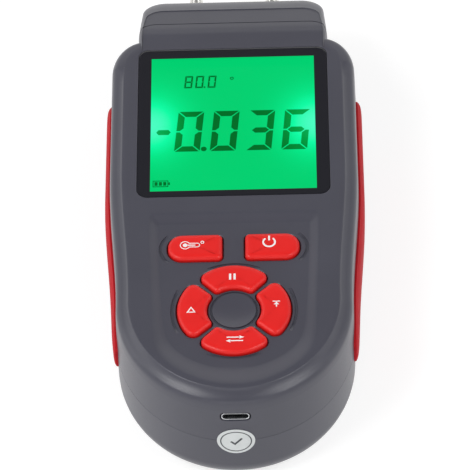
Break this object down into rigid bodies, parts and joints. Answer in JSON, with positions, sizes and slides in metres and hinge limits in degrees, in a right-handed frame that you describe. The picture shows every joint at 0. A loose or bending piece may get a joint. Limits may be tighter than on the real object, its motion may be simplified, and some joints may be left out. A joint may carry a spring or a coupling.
{
  "type": "digital manometer",
  "caption": "Handheld digital pressure meter with a lit display, red rubber keys and side grips, a charging socket at the foot and barbed hose ports at the head.",
  "frame": {"origin": "under the middle of the overall length and width, on the plane that the back rests on", "axes": "+X across the case to the right as the display is read, +Y along the case to the head with the ports, +Z out of the display face"},
  "size_m": [0.073, 0.166, 0.0362],
  "materials": {
    "housing": "fine moulded texture, satin",
    "grip_rubber": "smooth rubber",
    "window": "clear window with a black printed border",
    "display": "lit liquid crystal cell",
    "white_plastic": "moulded",
    "grey_rubber": "matte",
    "circuit_board": "solder mask",
    "key_rubber": "coated silicone, satin",
    "steel": "plated steel",
    "black_plastic": "moulded",
    "foil": "foil",
    "plated_metal": "nickel-plated brass",
    "hose_rubber": "translucent silicone"
  },
  "bodies": {
    "case": {"front_cover": "housing", "rear_cover": "housing", "left_grip": "grip_rubber", "right_grip": "grip_rubber", "display_window": "window", "lcd_glass": "display", "lcd_frame": "white_plastic", "backlight_panel": "white_plastic", "zebra_strip": "grey_rubber", "main_board": "circuit_board", "keypad_sheet": "key_rubber", "temperature_dome": "key_rubber", "power_dome": "key_rubber", "hold_dome": "key_rubber", "difference_dome": "key_rubber", "maximum_dome": "key_rubber", "units_dome": "key_rubber", "usb_shell": "steel", "usb_tongue": "black_plastic", "battery_cell": "foil", "battery_pad": "grey_rubber", "battery_leads": "key_rubber", "battery_connector": "white_plastic", "pressure_sensor": "black_plastic", "positive_port": "plated_metal", "negative_port": "plated_metal", "port_nuts": "plated_metal", "port_seals": "grey_rubber", "positive_hose": "hose_rubber", "negative_hose": "hose_rubber", "processor_chip": "black_plastic", "charger_chip": "black_plastic", "buzzer": "black_plastic", "board_capacitors": "foil", "case_screws": "steel", "board_screws": "steel"},
    "temperature_button": {"temperature_key": "key_rubber"},
    "power_button": {"power_key": "key_rubber"},
    "hold_button": {"hold_key": "key_rubber"},
    "difference_button": {"difference_key": "key_rubber"},
    "maximum_button": {"maximum_key": "key_rubber"},
    "units_button": {"units_key": "key_rubber"}
  },
  "joints": [
    {"name": "temperature_press", "type": "slide", "parent": "case", "child": "temperature_button", "axis": [0, 0, -1], "range_m": [0, 0.001], "stiffness_N_per_m": 1500, "deforming": ["temperature_dome"]},
    {"name": "power_press", "type": "slide", "parent": "case", "child": "power_button", "axis": [0, 0, -1], "range_m": [0, 0.001], "stiffness_N_per_m": 1500, "deforming": ["power_dome"]},
    {"name": "hold_press", "type": "slide", "parent": "case", "child": "hold_button", "axis": [0, 0, -1], "range_m": [0, 0.001], "stiffness_N_per_m": 1500, "deforming": ["hold_dome"]},
    {"name": "difference_press", "type": "slide", "parent": "case", "child": "difference_button", "axis": [0, 0, -1], "range_m": [0, 0.001], "stiffness_N_per_m": 1500, "deforming": ["difference_dome"]},
    {"name": "maximum_press", "type": "slide", "parent": "case", "child": "maximum_button", "axis": [0, 0, -1], "range_m": [0, 0.001], "stiffness_N_per_m": 1500, "deforming": ["maximum_dome"]},
    {"name": "units_press", "type": "slide", "parent": "case", "child": "units_button", "axis": [0, 0, -1], "range_m": [0, 0.001], "stiffness_N_per_m": 1500, "deforming": ["units_dome"]}
  ]
}
